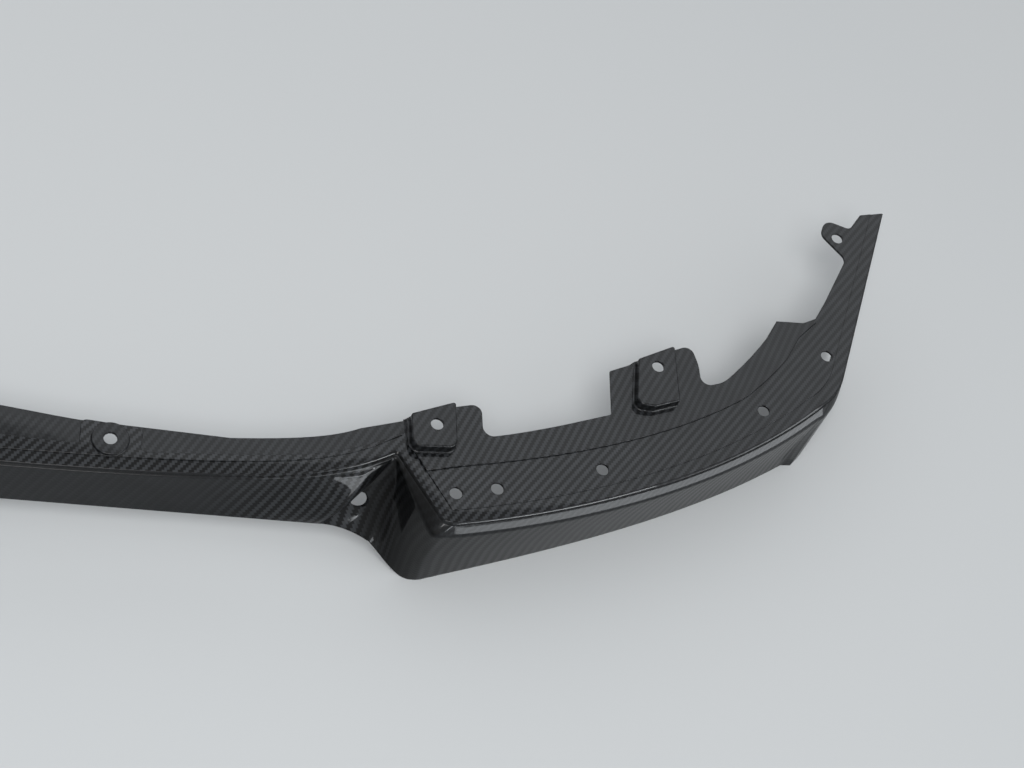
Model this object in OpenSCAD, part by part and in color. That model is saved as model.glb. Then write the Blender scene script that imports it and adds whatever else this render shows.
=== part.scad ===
/* [Plan] */
// Width across the ends of the two side arms
width = 1734; // [1500:1:1950]
// Distance between the two noses
nose_spread = 828; // [700:1:920]
// How far each side arm ends outside its corner
arm_out = 76.5; // [50:0.5:110]
// How far each corner sits behind the noses
corner_back = 173.5; // [130:0.5:220]
// How far each side arm runs back from its corner
arm_back = 213.5; // [160:0.5:270]
// How far the face of the middle sits behind the noses
recess_back = 23; // [14:0.5:40]
// How far each valley's top sits beside its nose
valley_side = 39; // [28:0.5:60]
// How far each valley's top sits behind the noses
valley_back = 65; // [50:0.5:85]
// Angle at which each wing leaves its nose
nose_angle = 14; // [8:0.5:22]
// Angle at which each wing meets its corner
corner_angle = 44; // [36:0.5:52]

/* [Heights] */
// Height of the strip along the front edge above the ground
edge_height = 98; // [80:0.5:130]
// Height of the middle's lower edge above the ground
middle_clearance = 43; // [25:0.5:60]
// Height of each side arm's end blade
tip_blade = 26; // [12:0.5:50]
// Rise from the strip to the front field
field_step = 1; // [0.6:0.1:1.6]
// Rise from the front field to the rear field of each wing
rear_step = 1.6; // [0.8:0.1:1.8]
// Drop from the front field to the rear band of the middle
band_drop = 1.6; // [0.8:0.1:1.8]
// Rise of the square pads above the rear field
pad_rise = 9.4; // [5:0.1:14]
// Rise of the round pads above the front field
round_pad_rise = 2.4; // [1:0.1:5]

/* [Sheet] */
// Thickness of the laminate
wall = 2.4; // [1.9:0.1:3.2]
// Width of the small flat on the top front edge
edge_flat = 1.4; // [0.8:0.1:2]
// How far the bevel under the front edge stands out
bevel_out = 5; // [2:0.5:8]
// Height of the bevel under the front edge
bevel_drop = 11; // [6:0.5:18]
// How far the wing's face leans back to its lower edge
face_lean = 8; // [2:0.5:12]

/* [Flange] */
// Width of the strip along the front edge
strip_w = 12.5; // [9:0.5:18]
// Width from the wing's front edge to the crease
crease_w = 46; // [38:0.5:54]
// Width of the wing's flange
flange_w = 73; // [62:0.5:86]
// Width of the middle's flange beside the round pads
middle_w = 35.5; // [32:0.5:44]
// Width of the middle's flange at the centre line
centre_w = 56.5; // [48:0.5:64]
// Width of the raised front field of the middle beside the round pads
ridge_w = 19; // [15:0.5:24]
// Width of the side arm at its middle
arm_w = 25; // [20:0.5:36]

/* [Fixings] */
// Diameter of the screw holes
hole_d = 11; // [8:0.5:13]
// Diameter of the holes in the valleys
valley_hole_d = 14; // [10:0.5:18]
// Distance between the two round pads
round_pad_spread = 280; // [220:1:360]
// Diameter of the round pads
round_pad_d = 30; // [24:0.5:36]
// Width of the square pads
pad_w = 39; // [32:0.5:44]
// Distance between the inner square pads
inner_pad_spread = 814; // [800:1:840]
// Place of the outer square pad along the wing, from the nose to the corner
outer_pad_place = 0.63; // [0.56:0.01:0.68]
// Distance of the row of screw holes from the front edge
row_in = 25; // [20:0.5:32]
// Radius of the ear on each side arm
ear_r = 16.5; // [14:0.5:20]

/* [Hidden] */
lap = 3;
half = width / 2;
nose = [nose_spread / 2, 0];
apex = [nose[0] - valley_side, valley_back];
corner = [half - arm_out, corner_back];
tip = corner + [arm_out, arm_back];
middle_face = recess_back;
valley_foot = [nose[0] - 1.84 * valley_side, middle_face - 1.5];
nose_foot = nose + [-10, -3];
field_top = edge_height + field_step;
rear_top = field_top + rear_step;
band_top = field_top - band_drop;
pad_top = rear_top + pad_rise;

// Plain vector sums
function turn(a) = [cos(a), sin(a)];
function unit(v) = v / norm(v);
function left(v) = [-v[1], v[0]];
function mixed(a, b, t) = a * (1 - t) + b * t;
function ease(t) = t * t * (3 - 2 * t);
function mirrored(p) = concat([-p[0]], [for (k = [1 : len(p) - 1]) p[k]]);
function reversed(list) = [for (k = [len(list) - 1 : -1 : 0]) list[k]];
function both_sides(line) = concat(reversed([for (p = line) if (p[0] > 0.01) mirrored(p)]), line);

// A cubic curve and its direction
function curve(c, t) =
    c[0] * pow(1 - t, 3) + c[1] * 3 * t * pow(1 - t, 2) + c[2] * 3 * t * t * (1 - t) + c[3] * pow(t, 3);
function heading(c, t) =
    unit((c[1] - c[0]) * pow(1 - t, 2) + (c[2] - c[1]) * 2 * t * (1 - t) + (c[3] - c[2]) * t * t);
function beside(c, t, d) = curve(c, t) + left(heading(c, t)) * d;

// The corner between two runs, moved inward by d from both
function mitre(p, u, v, d) = p + (left(u) + left(v)) * d / (1 + u * v);

// An arc of radius r that rounds the vertex p of a path
function arc(a, p, b, r) =
    r <= 0 ? [p] :
    let (
        u = unit(a - p),
        v = unit(b - p),
        half_angle = acos(max(-1, min(1, u * v))) / 2,
        run = min(r / tan(half_angle), 0.48 * norm(a - p), 0.48 * norm(b - p)),
        fit = run * tan(half_angle),
        mid = p + unit(u + v) * fit / sin(half_angle),
        from = p + u * run - mid,
        to = p + v * run - mid,
        start = atan2(from[1], from[0]),
        raw = atan2(to[1], to[0]) - start,
        sweep = raw > 180 ? raw - 360 : raw < -180 ? raw + 360 : raw,
        steps = max(2, ceil(abs(sweep) / 15))
    )
    [for (k = [0 : steps]) mid + fit * turn(start + sweep * k / steps)];

// A path whose vertices are [x, y, radius]; its first and last points stay
function rounded(path) =
    let (last = len(path) - 1)
    concat(
        [[path[0][0], path[0][1]]],
        [for (k = [1 : last - 1])
            each arc([path[k - 1][0], path[k - 1][1]], [path[k][0], path[k][1]],
                [path[k + 1][0], path[k + 1][1]], path[k][2])],
        [[path[last][0], path[last][1]]]);
function rounded_loop(path) =
    let (n = len(path))
    [for (k = [0 : n - 1])
        each arc([path[(k + n - 1) % n][0], path[(k + n - 1) % n][1]], [path[k][0], path[k][1]],
            [path[(k + 1) % n][0], path[(k + 1) % n][1]], path[k][2])];

// The front edge in plan: the middle, the nose's inner side, the wing and the arm
middle_curve = [
    [0, middle_face],
    [0.7 * apex[0], middle_face],
    [0.85 * apex[0], mixed(middle_face, apex[1], 0.24)],
    apex];
chord = norm(corner - nose);
wing_curve = [
    nose,
    nose + turn(nose_angle) * 0.266 * chord,
    corner - turn(corner_angle) * 0.362 * chord,
    corner];
inner_way = unit(nose - apex);
arm_way = unit(tip - corner);
arm_len = norm(tip - corner);
end_slant = 0.68;
function on_arm(along, d) = corner + arm_way * along + left(arm_way) * d;
function arm_end(d) = on_arm(arm_len - end_slant * d, d);

// One line along the half, at a distance inside the front edge, with matched points
middle_steps = 9;
side_steps = 8;
wing_steps = 12;
arm_steps = 4;
middle_part = 0.97;
function spread(p, u, v, run, parts = 4) =
    [for (k = [0 : parts]) let (t = k / parts) (p - u * run) * pow(1 - t, 2) + p * 2 * t * (1 - t) + (p + v * run) * t * t];
function inner_line(in_middle, at_apex, at_nose, at_corner, apex_run, nose_run, corner_run, push = [0, 0]) =
    let (
        a = mitre(apex, heading(middle_curve, 1), inner_way, at_apex),
        n = mitre(nose, inner_way, turn(nose_angle), at_nose) + push,
        c = mitre(corner, turn(corner_angle), arm_way, at_corner),
        side_way = unit(n - a)
    )
    concat(
        [for (k = [0 : middle_steps - 1]) beside(middle_curve, middle_part * k / middle_steps,
            mixed(in_middle, at_apex, ease(k / middle_steps)))],
        spread(a, heading(middle_curve, 1), side_way, apex_run),
        [for (k = [1 : side_steps - 1])
            mixed(a + side_way * apex_run, n - side_way * nose_run, k / side_steps)],
        spread(n, side_way, turn(nose_angle), nose_run),
        [for (k = [1 : wing_steps - 1])
            beside(wing_curve, k / wing_steps, mixed(at_nose, at_corner, k / wing_steps))],
        spread(c, turn(corner_angle), arm_way, corner_run),
        [for (k = [1 : arm_steps]) mixed(c + arm_way * corner_run, arm_end(at_corner), k / arm_steps)]);

// The lower edge has its own plan, and it rises in the valleys and along the arms
foot_apex_run = 22;
foot_middle = middle_face - 2;
foot_nose_run = 9;
corner_flare = 5;
corner_run = 12;
function lean(u) = face_lean * 4 * u * (1 - u) - corner_flare * u * u - pow(1 - u, 2);
function foot_line(d) =
    let (
        a = valley_foot + [-0.2, 1] * d,
        n = nose_foot + [0.45, 1.1] * d,
        c = mitre(corner, turn(corner_angle), arm_way, lean(1) + d),
        side_way = unit(n - a)
    )
    concat(
        [for (k = [0 : middle_steps - 1])
            let (u = k / middle_steps)
            [(a[0] - foot_apex_run) * sin(90 * u), mixed(foot_middle + d, a[1], u)]],
        spread(a, [1, 0], side_way, foot_apex_run),
        [for (k = [1 : side_steps - 1])
            mixed(a + side_way * foot_apex_run, n - side_way * foot_nose_run, k / side_steps)],
        spread(n, side_way, turn(nose_angle), foot_nose_run),
        [for (k = [1 : wing_steps - 1]) beside(wing_curve, k / wing_steps, lean(k / wing_steps) + d)],
        spread(c, turn(corner_angle), arm_way, corner_run),
        [for (k = [1 : arm_steps]) mixed(c + arm_way * corner_run, arm_end(d), k / arm_steps)]);
function falling(t) = middle_clearance * (1 - ease(t));
valley_part = 0.3;
nose_part = 0.88;
foot_heights = concat(
    [for (k = [1 : middle_steps]) middle_clearance],
    [for (k = [0 : 4]) falling(valley_part * k / 4)],
    [for (k = [1 : side_steps - 1]) falling(mixed(valley_part, nose_part, k / side_steps))],
    [for (k = [0 : 4]) falling(mixed(nose_part, 1, min(1, k / 2)))],
    [for (k = [1 : wing_steps + 4]) 0],
    [for (k = [1 : arm_steps]) (edge_height - tip_blade) * ease(k / arm_steps)]);

// The bevel is deepest at the corner and all but gone in the middle
middle_bevel = 3;
nose_bulge = 6;
valley_bulge = 8;
corner_bevel = 1.5 * bevel_drop;
bevel_drops = concat(
    [for (k = [1 : middle_steps + 5]) middle_bevel],
    [for (k = [1 : side_steps - 1]) mixed(middle_bevel, bevel_drop, k / side_steps)],
    [for (k = [1 : 5]) bevel_drop],
    [for (k = [1 : wing_steps - 1]) mixed(bevel_drop, corner_bevel, pow(k / wing_steps, 2))],
    [for (k = [1 : arm_steps + 5]) corner_bevel]);

// The moulded front: strip, edge, bevel and face as one bent sheet
function raised(line, z) = [for (p = line) [p[0], p[1], z]];
function lifted(line, heights) = [for (k = [0 : len(line) - 1]) [line[k][0], line[k][1], heights[k]]];
function parallel(d, apex_run, nose_run, corner_run) =
    inner_line(d, d, d, d, apex_run, nose_run, corner_run);
function bevel_line(d) =
    inner_line(d - 0.25 * bevel_out, d - 0.5 * bevel_out, d - 1.4 * bevel_out, d - 0.3 * bevel_out,
        4, 8, corner_run + 2, [-nose_bulge, 0]);
function bulge(k) = k < middle_steps ? valley_bulge * ease(max(0, 2 * k / middle_steps - 1)) : 0;
function face_middle(upper, lower) =
    [for (k = [0 : len(upper) - 1]) mixed(upper[k], lower[k], 0.5) - [0, bulge(k), 0]];
strip_back = parallel(strip_w + lap, 2, 2, 6);
edge_back = parallel(edge_flat, 3, 9, corner_run - 1);
edge_front = parallel(0, 3, 10, corner_run);
edge_inside = parallel(wall, 4, 8, corner_run - 2);
bevel_outside = lifted(bevel_line(0), [for (z = bevel_drops) edge_height - z]);
bevel_inside = lifted(bevel_line(wall), [for (z = bevel_drops) edge_height - z - 0.4 * wall]);
foot_outside = lifted(foot_line(0), foot_heights);
foot_inside = lifted(foot_line(wall), foot_heights);
sheet_lines = [
    raised(strip_back, edge_height),
    raised(edge_back, edge_height),
    raised(edge_front, edge_height - edge_flat),
    bevel_outside,
    face_middle(bevel_outside, foot_outside),
    foot_outside,
    foot_inside,
    face_middle(bevel_inside, foot_inside),
    bevel_inside,
    raised(edge_inside, edge_height - wall),
    raised(strip_back, edge_height - wall)];
front_y = min([for (line = sheet_lines) for (p = line) p[1]]);
rear_y = tip[1];

module bent_sheet(lines) {
    around = len(lines);
    ring = [for (line = lines) both_sides(line)];
    count = len(ring[0]);
    points = [for (s = [0 : count - 1]) for (j = [0 : around - 1]) ring[j][s]];
    skin = [for (s = [0 : count - 2]) for (j = [0 : around - 1])
        let (a = s * around + j, b = s * around + (j + 1) % around)
        each [[b + around, b, a], [a + around, b + around, a]]];
    cap = [
        [0, 1, 9], [0, 9, 10], [1, 2, 9], [2, 3, 8], [2, 8, 9],
        [3, 4, 7], [3, 7, 8], [4, 5, 6], [4, 6, 7]];
    last = (count - 1) * around;
    polyhedron(points, concat(skin, cap, [for (f = cap) [f[2] + last, f[1] + last, f[0] + last]]));
}

// Places of the pads, the ear and the holes
valley_hole = [nose[0] - 1.56 * valley_side, middle_face + 10, 0.65 * edge_height];
round_pad = [round_pad_spread / 2, middle_face + 29];
inner_pad = [inner_pad_spread / 2, valley_back + 24];
outer_pad = beside(wing_curve, outer_pad_place, flange_w + 27.4);
ear_along = 0.756 * arm_len;
ear_in = arm_w + 13.6;
ear = on_arm(ear_along, ear_in);
row_holes = [
    beside(wing_curve, 0.045, row_in + 2.5),
    beside(wing_curve, 0.15, row_in),
    beside(wing_curve, 0.402, row_in),
    beside(wing_curve, 0.813, row_in),
    on_arm(0.133 * arm_len, 0.84 * row_in)];

// The strip's step line, with sharp corners at the valley and the nose; its points fall between the sheet's
step_shift = 0.35;
step_apex = mitre(apex, heading(middle_curve, 1), inner_way, strip_w);
step_nose = mitre(nose, inner_way, turn(nose_angle), strip_w);
corner_step = mitre(corner, turn(corner_angle), arm_way, strip_w);
step_corner = spread(corner_step, turn(corner_angle), arm_way, 14, 5);
wing_step = [for (k = [1 : wing_steps - 1]) beside(wing_curve, (k + step_shift) / wing_steps, strip_w)];
middle_step = [for (k = [0 : middle_steps - 1])
    beside(middle_curve, middle_part * (k + step_shift) / middle_steps, strip_w)];

// The crease that parts the wing's front field from its rear field
crease_start = mixed(step_apex, step_nose, 0.49);
crease_wave = 4;
crease_flare = 70;
function crease_in(u) = crease_w + crease_wave * cos(220 * u) + crease_flare * max(0, u - 0.8);
function crease(back) = concat(
    [crease_start + [0, back]],
    [for (k = [1 : 11]) let (u = k / 11.5)
        beside(wing_curve, u, crease_in(u) + back)],
    [on_arm(37, crease_w + crease_wave + back), on_arm(62, crease_w - 2 * crease_wave + back)]);

// The raised field of the middle, with a tab that carries the round pad
tab_side = 0.8 * round_pad_d;
ridge_wide = ridge_w + 8;
ridge_start = (round_pad[0] + 38) / apex[0];
function set_at(pad, size, list) = [for (p = list) [pad[0] + p[0] * size, pad[1] + p[1] * size, p[2]]];
function ridge(back) = concat(
    [[0, middle_face + ridge_wide - back, 0],
     [round_pad[0] - tab_side - 8, middle_face + ridge_wide - 3.5 - back, 0]]);
function ridge_run(back) = [for (k = [0 : 7])
    let (t = mixed(0.9 * ridge_start, middle_part, k / 7), p = beside(middle_curve, t,
        mixed(ridge_w, strip_w + 2.5, k / 7) - back))
    [p[0], p[1], 0]];
middle_field_rear = rounded(concat(
    ridge(0),
    set_at(round_pad, round_pad_d, [[-0.8, -0.17, 2], [-0.8, 0.58, 5], [0.87, 0.45, 6], [0.8, -0.3, 5]]),
    ridge_run(0)));

// The rear edge of the middle
function middle_rear(x) =
    middle_face + mixed(centre_w, 1.25 * middle_w, ease(min(1, x / (round_pad[0] + 10))));
band_rear = concat(
    [for (k = [0 : 4]) let (x = k / 4 * (round_pad[0] - tab_side)) [x, middle_rear(x)]],
    [for (k = [0 : 8])
        let (t = mixed(0.9 * ridge_start, 0.9, k / 8))
        beside(middle_curve, t, middle_w - 0.08 * middle_w * ease(k / 8))]);

// The foot of the rise from the middle's band to the wing's rear field
rise_x = inner_pad[0] - 0.56 * pad_w - 2;
rise_back = inner_pad[1] + 9;
rise_front = mixed(step_apex, step_nose, (rise_x - step_apex[0]) / (step_nose[0] - step_apex[0]));

// The rear edge of the wing, with its two tabs and the scoop before the corner
arm_start = on_arm(65.8, 1.6 * arm_w);
function plain(p, r = 0) = [p[0], p[1], r];
wing_rear = rounded(concat(
    [[rise_x, rise_back, 0]],
    set_at(inner_pad, pad_w, [[0.51, 0.64, 0], [1.08, 0.78, 8], [1.08, -0.09, 10]]),
    [for (u = [0.22, 0.3, 0.4]) plain(beside(wing_curve, u, flange_w))],
    set_at(outer_pad, pad_w, [
        [-1.14, -1.256, 3], [-1.09, -0.103, 1.5], [-0.615, 0.115, 0], [-0.487, 0.218, 0],
        [0.987, 0.846, 8], [1.128, 0.308, 30], [1.154, -0.282, 12]]),
    [for (k = [0 : 5])
        plain(beside(wing_curve, mixed(0.775, 0.955, k / 5), flange_w + mixed(-8, 7.6, k / 5)))],
    [plain(on_arm(44.8, flange_w + 2)), plain(on_arm(54.9, 2 * arm_w), 8), plain(arm_start)]));

// The inner edge of the side arm, with its ear
arm_rear = rounded([
    plain(arm_start),
    plain(on_arm(90, 1.4 * arm_w), 30),
    plain(on_arm(ear_along - ear_r - 3, arm_w + 0.5), 9),
    plain(on_arm(ear_along - ear_r, ear_in + ear_r), ear_r - 0.5),
    plain(on_arm(ear_along + ear_r, ear_in + ear_r), ear_r - 0.5),
    plain(on_arm(ear_along + ear_r + 1, arm_w + 4), 6),
    plain(arm_end(arm_w - 2.5))]);

module plate(outline, top) {
    translate([0, 0, top - wall]) linear_extrude(wall) polygon(outline);
}

module on_both_sides() {
    children();
    mirror([1, 0, 0]) children();
}

module middle_plates() {
    field_front = concat(middle_step, [step_apex]);
    band_front = [for (p = concat(ridge(lap), ridge_run(lap))) [p[0], p[1]]];
    plate(concat(both_sides(field_front), reversed(both_sides(middle_field_rear))), field_top);
    plate(concat(
        both_sides(concat(band_front, [[rise_x + wall, rise_front[1] + 2]])),
        reversed(both_sides(concat(band_rear, [[rise_x + wall, rise_back]])))), band_top);
}

module wing_plates() {
    plate(concat(
        [crease_start, step_nose], wing_step, step_corner, [arm_end(strip_w)],
        reversed(arm_rear), reversed(crease(lap))), field_top);
    plate(concat([rise_front], crease(0), [arm_start], reversed(wing_rear)), rear_top);
}

// The rise that joins the band and the strip to the rear field
module rise() {
    side_way = unit(step_nose - step_apex);
    joint = crease_start + left(side_way) * wall;
    translate([0, 0, band_top - wall])
        linear_extrude(rear_top - band_top + wall)
            polygon([[rise_x, rise_back], [rise_x, rise_front[1]], crease_start, joint,
                [rise_x + wall, rise_front[1] + 2 * wall * (1 - inner_way[0])],
                [rise_x + wall, rise_back]]);
}

// The square pads are raised boxes of the sheet, open below
inner_pad_outline = set_at([0, 0], pad_w,
    [[-0.56, 0.22, 3], [0.44, 0.62, 2], [0.44, -0.54, 8], [-0.56, -0.6, 8]]);
outer_pad_outline = set_at([0, 0], pad_w,
    [[-0.45, 0.167, 3], [0.46, 0.628, 2], [0.45, -0.859, 2], [-0.154, -1.077, 6], [-0.59, -1.064, 9]]);
module pad_block(place, outline, low, high, inset) {
    translate([place[0], place[1], low])
        linear_extrude(high - low)
            offset(delta = -inset) polygon(rounded_loop(outline));
}

module square_pads(low, high, inset) {
    pad_block(inner_pad, inner_pad_outline, low, high, inset);
    pad_block(outer_pad, outer_pad_outline, low, high, inset);
}

module upright_hole(place, d) {
    translate([place[0], place[1], field_top - 20]) cylinder(d = d, h = 40, $fn = 48);
}

module splitter_lip() {
    color([0.16, 0.17, 0.18])
    translate([0, -(front_y + rear_y) / 2, 0])
    difference() {
        union() {
            bent_sheet(sheet_lines);
            middle_plates();
            on_both_sides() {
                wing_plates();
                rise();
                square_pads(rear_top - wall / 2, pad_top, 0);
                translate([round_pad[0], round_pad[1], field_top - wall / 2])
                    cylinder(d = round_pad_d, h = round_pad_rise + wall / 2, $fn = 72);
            }
        }
        on_both_sides() {
            square_pads(rear_top - 2 * wall, pad_top - wall, wall);
            translate([round_pad[0], round_pad[1], field_top - 2 * wall])
                cylinder(d = round_pad_d - 2 * wall, h = round_pad_rise + wall, $fn = 72);
            for (place = concat(row_holes, [round_pad, inner_pad, outer_pad, ear]))
                upright_hole(place, hole_d);
            translate(valley_hole) rotate([70, 0, 36])
                cylinder(d = valley_hole_d, h = 30, center = true, $fn = 48);
        }
    }
}

splitter_lip();
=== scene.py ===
"""Front splitter lip: a gloss carbon-fibre laminate lying on a pale studio floor.

Every piece is laid out from the same plan: the middle's curve, the valley, the nose,
the wing's curve, the corner and the side arm. Lengths in the plan are millimetres, and
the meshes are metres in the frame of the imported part.
"""

import math

import bpy
import numpy as np
from mathutils import Matrix, Vector
from mathutils.geometry import tessellate_polygon


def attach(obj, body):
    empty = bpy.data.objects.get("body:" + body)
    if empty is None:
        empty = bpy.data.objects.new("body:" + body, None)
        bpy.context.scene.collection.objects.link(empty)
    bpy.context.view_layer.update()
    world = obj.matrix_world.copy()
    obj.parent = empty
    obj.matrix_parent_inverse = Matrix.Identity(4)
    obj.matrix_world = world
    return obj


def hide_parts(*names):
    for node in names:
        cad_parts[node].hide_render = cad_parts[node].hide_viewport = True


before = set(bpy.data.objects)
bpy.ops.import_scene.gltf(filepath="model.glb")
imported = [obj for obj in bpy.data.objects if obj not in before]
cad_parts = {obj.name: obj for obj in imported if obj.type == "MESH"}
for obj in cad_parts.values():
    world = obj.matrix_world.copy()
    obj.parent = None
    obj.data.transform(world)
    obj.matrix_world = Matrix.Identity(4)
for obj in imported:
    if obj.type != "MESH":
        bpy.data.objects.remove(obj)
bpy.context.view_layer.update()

bl_info = {
    "name": "Front splitter lip",
    "version": (1, 0, 0),
    "blender": (4, 5, 0),
    "location": "3D View > Sidebar > Splitter",
    "description": "A moulded carbon-fibre front splitter lip on a studio floor",
    "category": "Object",
}

NODE = "splitter_lip"
BODY = "root"
MM = 0.001
ORIGIN_BACK = 190.293  # how far the frame's origin lies behind the noses, in mm


# Sizes and colours that a user would change

def length(label, what, default):
    """A property that holds a length in metres."""
    return bpy.props.FloatProperty(name=label, description=what, default=default, unit="LENGTH", precision=4)


def shade(label, what, default):
    """A property that holds a colour as sRGB hex digits."""
    return bpy.props.StringProperty(name=label, description=what, default=default)


def power(label, what, default):
    """A property that holds a lamp's power in watts."""
    return bpy.props.FloatProperty(name=label, description=what, default=default, unit="POWER")


def level(label, what, default):
    """A property that holds the strength of the room's light."""
    return bpy.props.FloatProperty(name=label, description=what, default=default)


class LipPlan(bpy.types.PropertyGroup):
    width: length("Width", "Across the ends of the two side arms", 1.734)
    nose_spread: length("Nose spread", "Distance between the two noses", 0.828)
    arm_out: length("Arm out", "How far each side arm ends outside its corner", 0.0765)
    corner_back: length("Corner back", "How far each corner sits behind the noses", 0.1735)
    arm_back: length("Arm back", "How far each side arm runs back from its corner", 0.2135)
    recess_back: length("Recess", "How far the middle's face sits behind the noses", 0.023)
    valley_side: length("Valley side", "How far each valley's top sits beside its nose", 0.039)
    valley_back: length("Valley back", "How far each valley's top sits behind the noses", 0.065)
    edge_height: length("Edge height", "Height of the strip along the front edge", 0.098)
    middle_clearance: length("Clearance", "Height of the middle's lower edge", 0.043)
    tip_blade: length("End blade", "Height of each side arm's end blade", 0.026)
    strip_w: length("Strip", "Width of the strip along the front edge", 0.0125)
    bevel_out: length("Bevel out", "How far the bevel under the front edge stands out", 0.0066)
    bevel_drop: length("Bevel drop", "Height of the bevel under the front edge", 0.01)
    face_lean: length("Face lean", "How far the wing's face leans back to its lower edge", 0.011)
    row_in: length("Row", "Distance of the row of screw holes from the front edge", 0.028)
    crease_w: length("Crease", "Width from the wing's front edge to the crease", 0.0485)
    flange_w: length("Flange", "Width of the wing's flange", 0.0765)
    middle_w: length("Middle flange", "Width of the middle's flange", 0.0355)
    centre_w: length("Centre flange", "Width of the middle's flange at the centre line", 0.0565)
    ridge_w: length("Ridge", "Width of the middle's raised front field", 0.019)
    arm_w: length("Arm width", "Width of the side arm at its middle", 0.025)
    wall: length("Wall", "Thickness of the laminate", 0.0024)
    hole_d: length("Holes", "Diameter of the screw holes", 0.011)


class LipFinish(bpy.types.PropertyGroup):
    tow: length("Tow", "Width of one tow of the cloth", 0.00216)
    # Warp lighter than weft: the cloth's own twill pattern, drawn out as painted sheen for the light those
    # tows catch
    warp: shade("Warp tows", "Colour of the tows that catch the light", "2f3134")
    weft: shade("Weft tows", "Colour of the tows that cross them", "08090a")
    floor: shade("Floor", "Colour of the studio floor", "c6c9cb")
    floor_patch: shade("Floor patches", "Colour of its slightly darker patches", "c2c6c9")
    key: power("Key lamp", "Soft lamp over the front, the only one that lights the floor", 90.0)
    window: power("Low window", "Long low light in front", 235.0)
    box: power("Strip box", "Narrow soft box in front", 95.0)
    bank: power("Rear bank", "Light bank above and behind", 47.0)
    ceiling: level("Ceiling", "How much brighter the room is above and behind", 0.5)
    horizon: level("Horizon", "Light of the room low in front", 0.24)



# Plan: the same points and curves as the solid part

def turn(angle):
    return np.array([math.cos(math.radians(angle)), math.sin(math.radians(angle))])


def unit(v):
    v = np.asarray(v, float)
    return v / np.linalg.norm(v)


def left(v):
    return np.array([-v[1], v[0]])


def mixed(a, b, t):
    return a * (1 - t) + b * t


def ease(t):
    t = np.clip(t, 0, 1)
    return t * t * (3 - 2 * t)


def curve(c, t):
    return c[0] * (1 - t) ** 3 + c[1] * 3 * t * (1 - t) ** 2 + c[2] * 3 * t * t * (1 - t) + c[3] * t ** 3


def heading(c, t):
    return unit((c[1] - c[0]) * (1 - t) ** 2 + (c[2] - c[1]) * 2 * t * (1 - t) + (c[3] - c[2]) * t * t)


def beside(c, t, d):
    return curve(c, t) + left(heading(c, t)) * d


def joined(p, u, v, du, dv):
    """The corner between two runs, moved inward by du from the first and dv from the second."""
    c = np.dot(u, v)
    return p + (left(u) * (du - dv * c) + left(v) * (dv - du * c)) / (1 - c * c)


def mitre(p, u, v, d):
    return joined(p, u, v, d, d)


def bow(a, p, b, shares):
    """Points on the soft bow from a to b that p pulls outward."""
    return [a * (1 - t) ** 2 + p * 2 * t * (1 - t) + b * t * t for t in shares]


def spread(p, u, v, run, parts):
    """A soft bend at p, from run before it to run after it."""
    return bow(p - u * run, p, p + v * run, np.linspace(0, 1, parts + 1))


def rounded(path, closed=False, step=7.0):
    """A path of [x, y, radius] with its vertices rounded; an open path keeps its ends."""
    count = len(path)
    out = []
    for k, (x, y, r) in enumerate(path):
        p = np.array([x, y])
        if r <= 0 or (not closed and k in (0, count - 1)):
            out.append(p)
            continue
        a = np.array(path[(k - 1) % count][:2])
        b = np.array(path[(k + 1) % count][:2])
        u, v = unit(a - p), unit(b - p)
        half = math.acos(max(-1, min(1, float(np.dot(u, v))))) / 2
        run = min(r / math.tan(half), 0.48 * np.linalg.norm(a - p), 0.48 * np.linalg.norm(b - p))
        fit = run * math.tan(half)
        mid = p + unit(u + v) * fit / math.sin(half)
        start, end = p + u * run - mid, p + v * run - mid
        first = math.atan2(start[1], start[0])
        sweep = (math.atan2(end[1], end[0]) - first + math.pi) % (2 * math.pi) - math.pi
        steps = max(2, math.ceil(abs(math.degrees(sweep)) / step))
        out += [mid + fit * turn(math.degrees(first + sweep * s / steps)) for s in range(steps + 1)]
    return out


def circle(centre, radius, steps=48):
    return [np.asarray(centre) + radius * turn(360 * k / steps) for k in range(steps)]


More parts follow.
